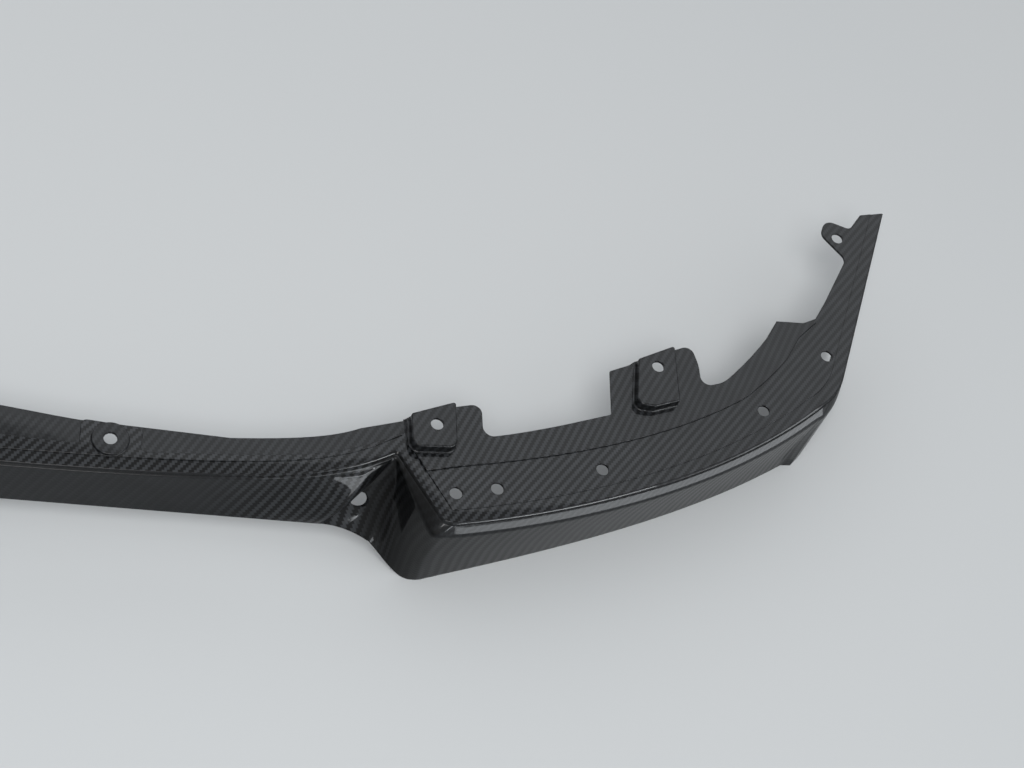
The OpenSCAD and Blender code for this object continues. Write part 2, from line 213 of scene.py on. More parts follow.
class Plan:
    """The lip's plan and its sections, in millimetres, with the noses at y = 0."""

    MIDDLE, TURN, SIDE, WING, ARM = 72, 18, 56, 76, 24  # parts in each zone along the half
    WING_PARTS = range(3, WING - 5)  # the others belong to the bends of the nose and the corner
    NOSE_ANGLE, CORNER_ANGLE = 10, 44  # how far the wing's front edge is turned at its two ends
    CORNER_RUN, APEX_FOOT_RUN, NOSE_FOOT_RUN, CORNER_FOOT_RUN = 18, 22, 9, 30  # reach of the bends
    PAD, PAD_RISE = 39, 9.4  # a square pad's size, and its height over the rear field
    ROUND_PAD, ROUND_SEAT, VALLEY_HOLE = 15, 12.9, 7  # radii
    ROUND_RISE = 2.4  # a round pad's height over the middle's raised field
    FIELD_RISE, FIELD_STEP = 1, 1.6  # the front field over the edge, and the steps beside that field
    LAP = 3  # how far a lower plate runs on below its higher neighbour

    def __init__(self, lip):
        for name in lip.__annotations__:
            setattr(self, name, getattr(lip, name) / MM)
        # The front edge: the middle's curve, the valley's side, the wing's curve and the arm.
        self.nose = np.array([self.nose_spread / 2, 0.0])
        self.apex = np.array([self.nose[0] - self.valley_side, self.valley_back])
        self.corner = np.array([self.width / 2 - self.arm_out, self.corner_back])
        self.tip = self.corner + np.array([self.arm_out, self.arm_back])
        face = self.recess_back
        self.middle = [np.array([0, face]), np.array([0.7 * self.apex[0], face]),
                       np.array([0.85 * self.apex[0], mixed(face, self.apex[1], 0.24)]), self.apex]
        chord = np.linalg.norm(self.corner - self.nose)
        self.wing = [self.nose, self.nose + turn(self.NOSE_ANGLE) * 0.266 * chord,
                     self.corner - turn(self.CORNER_ANGLE) * 0.362 * chord, self.corner]
        self.inner_way = unit(self.nose - self.apex)
        self.arm_way = unit(self.tip - self.corner)
        self.arm_len = np.linalg.norm(self.tip - self.corner)
        # The tops of the plates and pads.
        self.field_top = self.edge_height + self.FIELD_RISE
        self.rear_top = self.field_top + self.FIELD_STEP
        self.band_top = self.field_top - self.FIELD_STEP
        self.pad_top = self.rear_top + self.PAD_RISE
        # The turns of the lower edge, then the pads and holes.
        self.valley_foot = np.array([self.nose[0] - 1.84 * self.valley_side, face - 1.5])
        self.nose_foot = self.nose + np.array([-10, -3])
        self.valley_hole = np.array([self.nose[0] - 1.56 * self.valley_side, face + 10,
                                     0.65 * self.edge_height])
        self.round_pad = np.array([140, face + 29])
        self.inner_pad = np.array([407, self.valley_back + 24])
        self.outer_pad = beside(self.wing, 0.635, self.flange_w + 25.3)
        self.ear_along = 0.756 * self.arm_len
        self.ear_in = self.arm_w + 13.6
        self.ear = self.on_arm(self.ear_along, self.ear_in)
        self.row = [beside(self.wing, u, self.row_in - back)
                    for u, back in ((0.045, 0), (0.15, 0), (0.402, 0), (0.813, 2))]
        self.row.append(self.on_arm(0.133 * self.arm_len, 0.75 * self.row_in))
        # Where the strip's inner edge turns, and where the fields meet.
        self.step_apex = mitre(self.apex, heading(self.middle, 1), self.inner_way, self.strip_w)
        self.step_nose = mitre(self.nose, self.inner_way, turn(self.NOSE_ANGLE), self.strip_w)
        self.crease_start = mixed(self.step_apex, self.step_nose, 0.49)
        self.ridge_start = 0.9 * (self.round_pad[0] + 38) / self.apex[0]
        self.ridge_back = face + self.ridge_w + 8
        self.rise_x = self.inner_pad[0] - 0.56 * self.PAD - 2
        self.rise_back = self.inner_pad[1] + 9
        share = (self.rise_x - self.step_apex[0]) / (self.step_nose[0] - self.step_apex[0])
        self.rise_front = mixed(self.step_apex, self.step_nose, share)
        self.arm_start = self.on_arm(65.8, 1.6 * self.arm_w)

    def on_arm(self, along, d):
        return self.corner + self.arm_way * along + left(self.arm_way) * d

    def arm_end(self, d):
        return self.on_arm(self.arm_len - 0.68 * d, d)

    def at_pad(self, pad, spots):
        """Spots of [x, y, radius] beside a square pad's hole, as shares of the pad's size."""
        return [[pad[0] + self.PAD * x, pad[1] + self.PAD * y, r] for x, y, r in spots]

    def stations(self):
        """The zone and the place in it of each station along the half."""
        out = [("middle", k / self.MIDDLE) for k in range(self.MIDDLE)]
        out += [("apex", k / self.TURN) for k in range(self.TURN + 1)]
        out += [("side", k / self.SIDE) for k in range(1, self.SIDE)]
        out += [("nose", k / self.TURN) for k in range(self.TURN + 1)]
        out += [("wing", k / self.WING) for k in self.WING_PARTS]
        out += [("corner", k / self.TURN) for k in range(self.TURN + 1)]
        out += [("arm", k / self.ARM) for k in range(1, self.ARM + 1)]
        return out

    def walk(self, rules):
        """A value for each station: a zone's rule is its list of values, or a function of the place in it."""
        out = []
        for zone, u in self.stations():
            rule = rules[zone]
            out.append(rule[round(u * self.TURN)] if isinstance(rule, list) else rule(u))
        return np.array(out)

    def line(self, ds, runs, push=(0, 0)):
        """One line along the half, at a distance inside the front edge."""
        in_middle, at_apex, at_nose, at_corner, at_arm = ds
        out_of_middle, on_wing = heading(self.middle, 1), turn(self.NOSE_ANGLE)
        a = mitre(self.apex, out_of_middle, self.inner_way, at_apex)
        n = mitre(self.nose, self.inner_way, on_wing, at_nose) + np.array(push)
        c = joined(self.corner, turn(self.CORNER_ANGLE), self.arm_way, at_corner, at_arm)
        side = unit(n - a)
        return self.walk({
            "middle": lambda u: beside(self.middle, 0.985 * u, mixed(in_middle, at_apex, ease(u))),
            "apex": spread(a, out_of_middle, side, runs[0], self.TURN),
            "side": lambda u: mixed(a + side * runs[0], n - side * runs[1], u),
            "nose": spread(n, side, on_wing, runs[1], self.TURN),
            "wing": lambda u: beside(self.wing, u, mixed(at_nose, at_corner, u)),
            "corner": spread(c, turn(self.CORNER_ANGLE), self.arm_way, runs[2], self.TURN),
            "arm": lambda u: mixed(c + self.arm_way * runs[2], self.arm_end(at_arm), u)})

    def parallel(self, d, runs):
        return self.line((d, d, d, d, d), runs)

    def bevel(self, d):
        """The bevel's lower line: full along the wing, all but gone in the middle and on the arm."""
        out = self.bevel_out
        return self.line((d - 0.2 * out, d - 0.4 * out, d - 1.05 * out, d - out, d - 1.5),
                         (4, 8, self.CORNER_RUN + 2), (-6, 0))

    def foot(self, d):
        """The lower edge in plan, d inside its outer face."""
        # Leans back at the wing's middle; comes forward at the nose and flares out at the corner.
        lean = lambda u: self.face_lean * 4 * u * (1 - u) - 7.5 * u ** 3 - (1 - u) ** 2
        a = self.valley_foot + np.array([-0.2, 1]) * d
        n = self.nose_foot + np.array([0.45, 1.1]) * d
        c = mitre(self.corner, turn(self.CORNER_ANGLE), self.arm_way, lean(1) + d)
        side, at_apex, at_nose = unit(n - a), self.APEX_FOOT_RUN, self.NOSE_FOOT_RUN
        return self.walk({
            "middle": lambda u: np.array([(a[0] - at_apex) * math.sin(math.pi / 2 * u),
                                          mixed(self.recess_back - 2 + d, a[1], u)]),
            "apex": spread(a, np.array([1.0, 0]), side, at_apex, self.TURN),
            "side": lambda u: mixed(a + side * at_apex, n - side * at_nose, u),
            "nose": spread(n, side, turn(self.NOSE_ANGLE), at_nose, self.TURN),
            "wing": lambda u: beside(self.wing, u, lean(u) + d),
            "corner": spread(c, turn(self.CORNER_ANGLE), self.arm_way, self.CORNER_FOOT_RUN, self.TURN),
            "arm": lambda u: mixed(c + self.arm_way * self.CORNER_FOOT_RUN, self.arm_end(d), u)})

    def foot_heights(self):
        """Height of the lower edge: clear in the middle, on the ground from the nose to the corner."""
        falling = lambda t: self.middle_clearance * (1 - ease(t))
        return self.walk({
            "middle": lambda u: self.middle_clearance, "apex": lambda u: falling(0.3 * u),
            "side": lambda u: falling(mixed(0.3, 0.88, u)),
            "nose": lambda u: falling(mixed(0.88, 1, min(1, 2 * u))),
            "wing": lambda u: 0, "corner": lambda u: 0,
            "arm": lambda u: (self.edge_height - self.tip_blade) * ease(u)})

    def bevel_drops(self):
        """Depth of the bevel's lower line: thin in the middle, full along the wing."""
        drop = self.bevel_drop
        on_wing, on_arm = 0.9 * drop, 1.5 * drop
        return self.walk({
            "middle": lambda u: 3, "apex": lambda u: 3,
            "side": lambda u: mixed(3, drop, u), "nose": lambda u: drop,
            "wing": lambda u: mixed(drop, on_wing, min(1, 2 * u)),
            "corner": lambda u: mixed(on_wing, on_arm, u / 2),
            "arm": lambda u: mixed(on_wing, on_arm, 0.5 + u / 2)})

    def swell(self):
        """Half way down, the face swells forward before the valley and turns in behind it."""
        full = np.array([10.5, 4, 0])
        pull = lambda past: full * min(0.6 + 0.2 * past, max(0, 1 - (past - 2) / 7))
        middle = lambda u: np.array([0, -12 * ease(2 * u - 1), 0])
        still = lambda u: np.zeros(3)
        return self.walk({
            "middle": lambda u: mixed(middle(u), pull(0), ease((u - 0.87) / 0.13)),
            "apex": lambda u: pull(4 * u), "side": lambda u: pull(4 + 8 * u),
            "nose": still, "wing": still, "corner": still, "arm": still})



# Mesh helpers

def both_sides(line):
    """A half's line made whole: its mirror image, then the line itself."""
    line = [np.asarray(p, float) for p in line]
    flip = [np.concatenate([[-p[0]], p[1:]]) for p in line if p[0] > 0.01]
    return flip[::-1] + line


def mirrored(loop):
    """A loop's mirror image, still running the same way round."""
    return [np.array([-p[0], p[1]]) for p in loop][::-1]


SIDES = ("right", list), ("left", mirrored)


def turning_left(loop):
    area = sum(a[0] * b[1] - b[0] * a[1] for a, b in zip(loop, loop[1:] + loop[:1]))
    return loop if area > 0 else loop[::-1]


def thinned(loop, least=0.25):
    """A loop without points that all but coincide."""
    out = []
    for p in loop:
        if not out or np.linalg.norm(p - out[-1]) > least:
            out.append(p)
    if np.linalg.norm(out[0] - out[-1]) <= least:
        out.pop()
    return out


def outward(loop):
    """The outward normal of each vertex of a loop, lengthened at its corners."""
    pts = np.array(loop)
    edge = np.roll(pts, -1, 0) - pts
    edge /= np.linalg.norm(edge, axis=1)[:, None]
    normal = np.stack([edge[:, 1], -edge[:, 0]], 1)
    both = normal + np.roll(normal, 1, 0)
    both /= np.maximum(np.linalg.norm(both, axis=1)[:, None], 1e-6)
    reach = 1 / np.clip((both * normal).sum(1), 0.5, 1)
    return both * reach[:, None]


def moved(loop, d):
    """A loop grown by d, or shrunk where d is negative."""
    return list(np.array(loop) + outward(loop) * d)


class Skin:
    """Vertices, normals and faces of one piece, in plan millimetres."""

    def __init__(self):
        self.points, self.normals, self.faces = [], [], []

    def ring(self, loop, z, slope):
        """Adds a loop at height z; slope is how far its normal leans up, in degrees."""
        start = len(self.points)
        out = outward(loop)
        out /= np.linalg.norm(out, axis=1)[:, None]
        level_part, up_part = turn(slope)
        for p, n in zip(loop, out):
            self.points.append((p[0], p[1], z))
            self.normals.append((n[0] * level_part, n[1] * level_part, up_part))
        return list(range(start, len(self.points)))

    def rim(self, loop, middle, radius, slopes):
        """Rings round a rim about the height middle; a hollow rim has a negative radius."""
        return [self.ring(moved(loop, radius * (turn(slope)[0] - 1)), middle + radius * turn(slope)[1], slope)
                for slope in slopes]

    def band(self, low, high):
        count = len(low)
        for k in range(count):
            n = (k + 1) % count
            self.faces.append((low[k], low[n], high[n], high[k]))

    def bands(self, rings):
        for low, high in zip(rings, rings[1:]):
            self.band(low, high)

    def cap(self, rings, up):
        loops = [[Vector((self.points[i][0], self.points[i][1], 0)) for i in ring] for ring in rings]
        flat = [i for ring in rings for i in ring]
        for tri in tessellate_polygon(loops):
            a, b, c = (flat[i] for i in tri)
            pa, pb, pc = (np.array(self.points[i][:2]) for i in (a, b, c))
            turn_left = (pb[0] - pa[0]) * (pc[1] - pa[1]) - (pb[1] - pa[1]) * (pc[0] - pa[0]) > 0
            self.faces.append((a, b, c) if turn_left == up else (a, c, b))


def plate(skin, outline, holes, top, thick, soft=0.6):
    """A flat plate with softened rims, at its top height."""
    outline = turning_left(thinned(outline))
    holes = [turning_left(thinned(h))[::-1] for h in holes]
    tops, lows = [], []
    for loop in [outline] + holes:
        rings = skin.rim(loop, top - thick + soft, soft, (-90, -45, 0))
        rings += skin.rim(loop, top - soft, soft, (0, 30, 60, 90))
        skin.bands(rings)
        tops.append(rings[-1])
        lows.append(rings[0])
    skin.cap(tops, True)
    skin.cap(lows, False)


def raised_pad(skin, outline, hole, foot, top, wall, soft, flare, bore_soft=0.5):
    """A pad drawn up out of the sheet: hollow below, soft at its top, flared at its foot."""
    outline = turning_left(thinned(outline, 0.4))
    hole = turning_left(hole)[::-1]
    rings = skin.rim(outline, foot + flare, -flare, (90, 68, 45, 22, 0))
    rings += skin.rim(outline, top - soft, soft, (0, 20, 40, 60, 75, 90))
    skin.bands(rings)
    bore = skin.rim(hole, top - bore_soft, bore_soft, (0, 45, 90))
    skin.band(skin.ring(hole, top - wall, 0), bore[0])
    skin.bands(bore)
    skin.cap([rings[-1], bore[-1]], True)
    inside = moved(outline, -wall)
    lid = skin.ring(inside, top - wall, -90)
    rim = skin.ring(hole, top - wall, -90)
    skin.cap([lid, rim], False)
    wall_top = skin.ring(inside[::-1], top - wall, 0)
    wall_low = skin.ring(inside[::-1], foot - wall, 0)
    skin.band(wall_low, wall_top)
    low_rim = skin.ring(inside, foot - wall, -90)
    skin.band(low_rim, rings[0])


def placed(points):
    """Plan millimetres as metres in the part's frame."""
    return [(x * MM, (y - ORIGIN_BACK) * MM, z * MM) for x, y, z in points]


def cloth_at(x, y, angle, tow):
    """Cloth coordinates, in tows, of a place whose twill lines run at angle."""
    a = math.radians(45 - angle)
    return ((x * math.cos(a) - y * math.sin(a)) / tow, (x * math.sin(a) + y * math.cos(a)) / tow)


def make_piece(name, points, faces, cloth, show, normals=None, painted_shade_tone=lambda i: 1):
    """A mesh piece of the laminate.

    For each vertex, cloth gives its cloth coordinates, show how strongly the weave's contrast shows, a
    painted sheen for how each face catches the light, and the last rule a painted shade that darkens it.
    """
    mesh = bpy.data.meshes.new(name)
    mesh.from_pydata(points, [], faces)
    for layer, rule in ((mesh.uv_layers.new(name="cloth"), cloth),
                        (mesh.uv_layers.new(name="show"), lambda i: (show(i), painted_shade_tone(i)))):
        for loop in mesh.loops:
            layer.uv[loop.index].vector = rule(loop.vertex_index)
    mesh.shade_smooth()
    if normals is not None:
        mesh.normals_split_custom_set_from_vertices([Vector(n).normalized() for n in normals])
    mesh.validate()
    piece = bpy.data.objects.new(name, mesh)
    bpy.context.scene.collection.objects.link(piece)
    return piece


def laid_piece(name, skin, angle, tow, show, climb=0.0):
    """A piece whose cloth is laid from above; climb lets it run on down steep sides."""
    spot = skin.points
    finish_piece(make_piece(name, placed(spot), skin.faces,
                            lambda i: cloth_at(spot[i][0], spot[i][1] + climb * spot[i][2], angle, tow),
                            lambda i: show(abs(spot[i][0])), skin.normals))


def finish_piece(piece):
    piece.data.materials.append(bpy.data.materials["woven_carbon_clear_coated"])
    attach(piece, BODY)
    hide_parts(NODE)


# Materials

def linear(hex_digits):
    """A linear colour from sRGB hex digits."""
    parts = [int(hex_digits[k:k + 2], 16) / 255 for k in (0, 2, 4)]
    return tuple(v / 12.92 if v <= 0.04045 else ((v + 0.055) / 1.055) ** 2.4 for v in parts) + (1.0,)


def add_node(tree, kind, inputs=None, **settings):
    """Adds a node with its settings; an input is a value or another node's socket."""
    made = tree.nodes.new(kind)
    for key, value in settings.items():
        setattr(made, key, value)
    for key, value in (inputs or {}).items():
        if isinstance(value, bpy.types.NodeSocket):
            tree.links.new(value, made.inputs[key])
        else:
            made.inputs[key].default_value = value
    return made


def carbon_material(finish):
    """2x2 twill cloth of carbon tows, wet laid and cured, under a sprayed clear coat."""
    # Near black; the tows of one direction are painted a little lighter, a painted sheen for the light
    # they catch, so fine slanting lines cross each face, and the smooth coat over them mirrors the room and
    # the floor.
    material = bpy.data.materials.new("woven_carbon_clear_coated")
    material.use_nodes = True
    tree = material.node_tree
    tree.nodes.clear()

    def math_node(operation, a, b=0.0, c=0.0):
        return add_node(tree, "ShaderNodeMath", {0: a, 1: b, 2: c}, operation=operation).outputs[0]

    cloth = add_node(tree, "ShaderNodeUVMap", uv_map="cloth")
    split = add_node(tree, "ShaderNodeSeparateXYZ", {0: cloth.outputs[0]})
    x, y = split.outputs[0], split.outputs[1]
    column, row = math_node("FLOOR", x), math_node("FLOOR", y)
    phase = math_node("FLOORED_MODULO", math_node("SUBTRACT", column, row), 4.0)
    over = math_node("LESS_THAN", phase, 1.5)
    across_warp = math_node("SINE", math_node("MULTIPLY", math_node("FRACT", x), math.pi))
    across_weft = math_node("SINE", math_node("MULTIPLY", math_node("FRACT", y), math.pi))
    along_warp = math_node("FLOORED_MODULO", math_node("SUBTRACT", column, y), 4.0)
    along_weft = math_node("FLOORED_MODULO", math_node("SUBTRACT", x, row), 4.0)
    warp_float = math_node("ABSOLUTE", math_node("SINE", math_node(
        "MULTIPLY", math_node("ADD", along_warp, 1.0), math.pi / 2)))
    weft_float = math_node("ABSOLUTE", math_node("SINE", math_node("MULTIPLY", along_weft, math.pi / 2)))
    crown = add_node(tree, "ShaderNodeMix", {0: over, 2: math_node("MULTIPLY", across_weft, weft_float),
                                             3: math_node("MULTIPLY", across_warp, warp_float)}).outputs[0]
    slow = add_node(tree, "ShaderNodeTexNoise", {"Vector": cloth.outputs[0], "Scale": 0.09, "Detail": 2.0})
    # The show map: its first value is the painted sheen, how strongly the weave's contrast shows on each
    # face; its second is the painted shade that darkens each place
    show = add_node(tree, "ShaderNodeUVMap", uv_map="show")
    painted_sheen_and_shade = add_node(tree, "ShaderNodeSeparateXYZ", {0: show.outputs[0]})
    side = add_node(tree, "ShaderNodeMix", {0: painted_sheen_and_shade.outputs[0], 2: 0.35, 3: over}).outputs[0]
    shade_of = add_node(tree, "ShaderNodeMix", {0: side, 6: linear(finish.weft), 7: linear(finish.warp)},
                        data_type="RGBA")
    # Painted shade toward each tow's edges and a painted highlight on its crown, following the relief
    crown_shading = math_node("MULTIPLY_ADD", crown, 0.2, 0.85)
    patchy = math_node("MULTIPLY_ADD", slow.outputs[0], 0.6, 0.7)
    # Painted shade: the crown shading and the darkening from the show map, times the random patches
    painted_shade_tone = math_node("MULTIPLY", math_node("MULTIPLY", crown_shading, patchy), painted_sheen_and_shade.outputs[1])
    colour = add_node(tree, "ShaderNodeMix", {0: 1.0, 6: shade_of.outputs[2], 7: painted_shade_tone}, data_type="RGBA",
                      blend_type="MULTIPLY")
    relief = add_node(tree, "ShaderNodeBump", {"Strength": 0.2, "Distance": 0.0002, "Height": crown})
    object_place = add_node(tree, "ShaderNodeTexCoord")
    ripple = add_node(tree, "ShaderNodeTexNoise", {"Vector": object_place.outputs["Object"], "Scale": 60.0,
                                                   "Detail": 1.0})
    coat_wave = add_node(tree, "ShaderNodeBump", {"Strength": 0.08, "Distance": 0.0004,
                                                  "Height": ripple.outputs[0]})
    rough = math_node("MULTIPLY_ADD", over, -0.08, 0.46)
    shader = add_node(tree, "ShaderNodeBsdfPrincipled", {
        "Base Color": colour.outputs[2], "Roughness": rough, "Metallic": 0.0, "IOR": 1.4,
        "Coat Weight": 0.26, "Coat Roughness": 0.04, "Coat IOR": 1.5,
        "Normal": relief.outputs[0], "Coat Normal": coat_wave.outputs[0]})
    shader.inputs["Specular IOR Level"].default_value = 0.1
    add_node(tree, "ShaderNodeOutputMaterial", {"Surface": shader.outputs[0]})
    return material


def floor_material(finish):
    """Matt painted board, rolled smooth: pale, even and without gloss."""
    material = bpy.data.materials.new("matt_painted_board")
    material.use_nodes = True
    tree = material.node_tree
    tree.nodes.clear()
    place = add_node(tree, "ShaderNodeTexCoord")
    grain = add_node(tree, "ShaderNodeTexNoise", {"Vector": place.outputs["Object"], "Scale": 1.3,
                                                  "Detail": 2.0})
    tint = add_node(tree, "ShaderNodeMix", {0: grain.outputs[0], 6: linear(finish.floor),
                                            7: linear(finish.floor_patch)}, data_type="RGBA")
    shader = add_node(tree, "ShaderNodeBsdfPrincipled", {"Base Color": tint.outputs[2], "Roughness": 0.9})
    shader.inputs["Specular IOR Level"].default_value = 0.1
    add_node(tree, "ShaderNodeOutputMaterial", {"Surface": shader.outputs[0]})
    return material


# Operators

class LIP_OT_stage(bpy.types.Operator):
    """Lay the floor, hang the lamps and set the camera"""
    bl_idname = "lip.stage"
    bl_label = "Studio"

    def execute(self, context):
        scene = context.scene
        finish = scene.lip_finish
        carbon_material(finish)
        mesh = bpy.data.meshes.new("floor")
        half = 9  # metres
        mesh.from_pydata([(-half, -half, 0), (half, -half, 0), (half, half, 0), (-half, half, 0)], [],
                         [(0, 1, 2, 3)])
        floor = bpy.data.objects.new("floor", mesh)
        floor.data.materials.append(floor_material(finish))
        scene.collection.objects.link(floor)

        world = bpy.data.worlds.new("even_room_light")
        world.use_nodes = True
        tree = world.node_tree
        way = add_node(tree, "ShaderNodeTexCoord").outputs["Generated"]
        facing = add_node(tree, "ShaderNodeVectorMath", {0: way, 1: (0.1, 0.5, 0.86)},
                          operation="DOT_PRODUCT")
        level = add_node(tree, "ShaderNodeMapRange", {
            "Value": facing.outputs["Value"], "From Min": -0.5, "From Max": 1.0,
            "To Min": finish.horizon, "To Max": finish.horizon + finish.ceiling},
            interpolation_type="SMOOTHSTEP")
        tree.nodes["Background"].inputs[0].default_value = linear("fdfeff")
        tree.links.new(level.outputs[0], tree.nodes["Background"].inputs[1])
        scene.world = world

        def lamp(name, place, aim, wide, tall, power, on_floor=False):
            """A soft box; only the key lights the floor, the others show in the coat alone."""
            light = bpy.data.lights.new(name, "AREA")
            light.shape, light.size, light.size_y, light.energy = "RECTANGLE", wide, tall, power
            light.color = linear("fffefc" if on_floor else "f6fbff")[:3]
            holder = bpy.data.objects.new(name, light)
            turned = (Vector(aim) - Vector(place)).to_track_quat("-Z", "Y").to_matrix().to_4x4()
            holder.matrix_world = Matrix.Translation(place) @ turned
            holder.visible_diffuse = on_floor
            scene.collection.objects.link(holder)

        lamp("key_over_the_front", (-0.2, -1.95, 3.46), (0.45, 0, 0), 1.6, 1.6, finish.key, True)
        lamp("low_window_in_front", (4.3, -3.0, 0.77), (0.3, 0, 0.77), 5.1, 1.5, finish.window)
        lamp("strip_box_in_front", (3.0, -3.9, 2.0), (0.3, 0, 0.1), 3.4, 0.25, finish.box)
        lamp("light_bank_behind", (0.6, 2.4, 3.15), (0.1, 0, 0.1), 5.4, 1.4, finish.bank)

        camera = bpy.data.cameras.new("camera")
        camera.sensor_width, camera.lens = 36, 70
        camera.clip_start, camera.clip_end = 0.05, 50
        eye = bpy.data.objects.new("camera", camera)
        # Its right, up and back directions and its place, as worked out from the photo.
        eye.matrix_world = Matrix((
            (0.96494833, -0.09731602, -0.24372999, 0.05766),
            (-0.05001938, 0.84348634, -0.53481665, -0.96800),
            (0.25762915, 0.52826166, 0.80905305, 1.49252),
            (0, 0, 0, 1)))
        scene.collection.objects.link(eye)
        scene.camera = eye
        scene.view_settings.view_transform = "Standard"
        return {"FINISHED"}


class LIP_OT_front(bpy.types.Operator):
    """Mould the strip, edge, bevel and face as one bent sheet"""
    bl_idname = "lip.front"
    bl_label = "Moulded front"

    def execute(self, context):
        plan = Plan(context.scene.lip_plan)
        tow = context.scene.lip_finish.tow / MM
        h, wall = plan.edge_height, plan.wall
        raised = lambda line, z: np.c_[line, np.full(len(line), z)]
        drops, heights = plan.bevel_drops(), plan.foot_heights()
        bevel_out = np.c_[plan.bevel(0), h - drops]
        bevel_in = np.c_[plan.bevel(wall), h - drops - 0.4 * wall]
        foot_out, foot_in = np.c_[plan.foot(0), heights], np.c_[plan.foot(wall), heights]
        mid_out, mid_in = (bevel_out + foot_out) / 2 + plan.swell(), (bevel_in + foot_in) / 2 + plan.swell()
        run = plan.CORNER_RUN
        back = plan.parallel(plan.strip_w + 3, (2, 2, run - 8))
        edge = raised(plan.parallel(0, (3, 10, run)), h - 1.4)
        way = bevel_out - edge
        # Each rail and the run of its bend, from the strip round the outside to the strip's underside.
        rails = [
            (raised(back, h), 0), (raised(plan.parallel(1.5, (3, 9, run - 1)), h), 0.4),
            (edge, 0.25), (raised(plan.parallel(0.6, (3, 9, run)), h - 2.1), 0.2),
            (edge + way / np.linalg.norm(way, axis=1)[:, None] * 1.7, 0.3),
            (bevel_out, 3.2), ("face", mid_out), (foot_out, 0.9), (foot_in, 0.9), ("face", mid_in),
            (bevel_in, 1.0), (raised(plan.parallel(wall + 0.9, (4, 8, run - 2)), h - wall - 0.4), 0.5),
            (raised(back, h - wall), 0)]
        lines = self.bent(rails)
        around = len(lines)
        grid = np.array([both_sides(list(line)) for line in lines])
        count = grid.shape[1]
        points = grid.transpose(1, 0, 2).reshape(-1, 3)
        faces = []
        for s in range(count - 1):
            for j in range(around):
                a, b = s * around + j, s * around + (j + 1) % around
                faces.append((a, a + around, b + around, b))
        faces.append(tuple(range(around)))
        faces.append(tuple(reversed(range((count - 1) * around, count * around))))
        along = np.cumsum(np.linalg.norm(np.diff(grid, axis=1, prepend=grid[:, :1]), axis=2), axis=1)
        along -= along[:, count // 2][:, None]
        down = np.cumsum(np.linalg.norm(np.diff(grid, axis=0, prepend=grid[:1]), axis=2), axis=0)
        down = down - down[2]
        strip = range(5)  # the lines whose cloth is laid from above

        def cloth(i):
            s, j = divmod(i, around)
            if j in strip:
                return cloth_at(grid[j][s][0], grid[j][s][1], 50, tow)
            return cloth_at(along[j][s], -down[j][s], 68, 1.35 * tow)

        def show(i):
            """Painted sheen: the weave's contrast, plain at the middle, strong before the valley and faint on
            the wing's face.
            """
            s, j = divmod(i, around)
            x = abs(grid[j][s][0])
            if j in strip:
                return 1 - 0.5 * ease((x - 450) / 350)
            return 0.05 + 0.95 * ease((x - 205) / 70) if x < plan.apex[0] + 8 else 0.3

        def painted_shade_tone(i):
            """Painted shade: darker on the nose's inner side, which faces the dark valley."""
            x, y, z = grid[i % around][i // around]
            inner = ease((abs(x) - plan.apex[0] + 32) / 18) * (1 - ease((abs(x) - plan.nose[0] + 12) / 14))
            return 1 - 0.75 * inner if i % around not in strip else 1

        piece = make_piece("moulded_front", placed(points), faces, cloth, show, None, painted_shade_tone)
        self.bore_valleys(piece, plan)
        piece.data.set_sharp_from_angle(angle=math.radians(38))
        finish_piece(piece)
        return {"FINISHED"}

    def bent(self, rails):
        """The sheet's lines: each rail as a soft bend, each face as a swelling between its rails."""
        lines = []
        for k, (p, run) in enumerate(rails):
            after = rails[(k + 1) % len(rails)]
            after = after[1] if isinstance(after[0], str) else after[0]
            if isinstance(p, str):
                start = rails[k - 1][0]
                lines += bow(start, 2 * run - (start + after) / 2, after, np.linspace(0.05, 0.95, 19))
            elif run == 0:
                lines.append(p)
            else:
                u, v = lines[-1] - p, after - p
                lu, lv = np.linalg.norm(u, axis=1)[:, None], np.linalg.norm(v, axis=1)[:, None]
                a, b = p + u / lu * np.minimum(run, 0.45 * lu), p + v / lv * np.minimum(run, 0.45 * lv)
                lines += bow(a, p, b, np.linspace(0, 1, 6))
        return lines

    def bore_valleys(self, piece, plan):
        """Cuts the two slanting holes beside the noses."""
        for side in (1, -1):
            mesh = bpy.data.meshes.new("valley_cut")
            ring = circle((0, 0), plan.VALLEY_HOLE, 56)
            ends = [(p[0] * MM, p[1] * MM, z * MM) for z in (-15, 15) for p in ring]
            n = len(ring)
            faces = [(k, (k + 1) % n, n + (k + 1) % n, n + k) for k in range(n)]
            mesh.from_pydata(ends, [], faces + [tuple(reversed(range(n))), tuple(range(n, 2 * n))])
            cutter = bpy.data.objects.new("valley_cut", mesh)
            x, y, z = plan.valley_hole
            place = Matrix.Translation(placed([(side * x, y, z)])[0])
            swing = Matrix.Rotation(side * math.radians(36), 4, "Z")
            tilt = Matrix.Rotation(math.radians(70), 4, "X")
            mesh.transform(place @ swing @ tilt)
            bpy.context.scene.collection.objects.link(cutter)
            cut = piece.modifiers.new("valley_hole", "BOOLEAN")
            cut.operation, cut.solver, cut.object = "DIFFERENCE", "EXACT", cutter
            bpy.context.view_layer.update()
            done = bpy.data.meshes.new_from_object(piece.evaluated_get(bpy.context.evaluated_depsgraph_get()))
            piece.modifiers.clear()
            piece.data = done
            done.name = piece.name
            bpy.data.objects.remove(cutter)


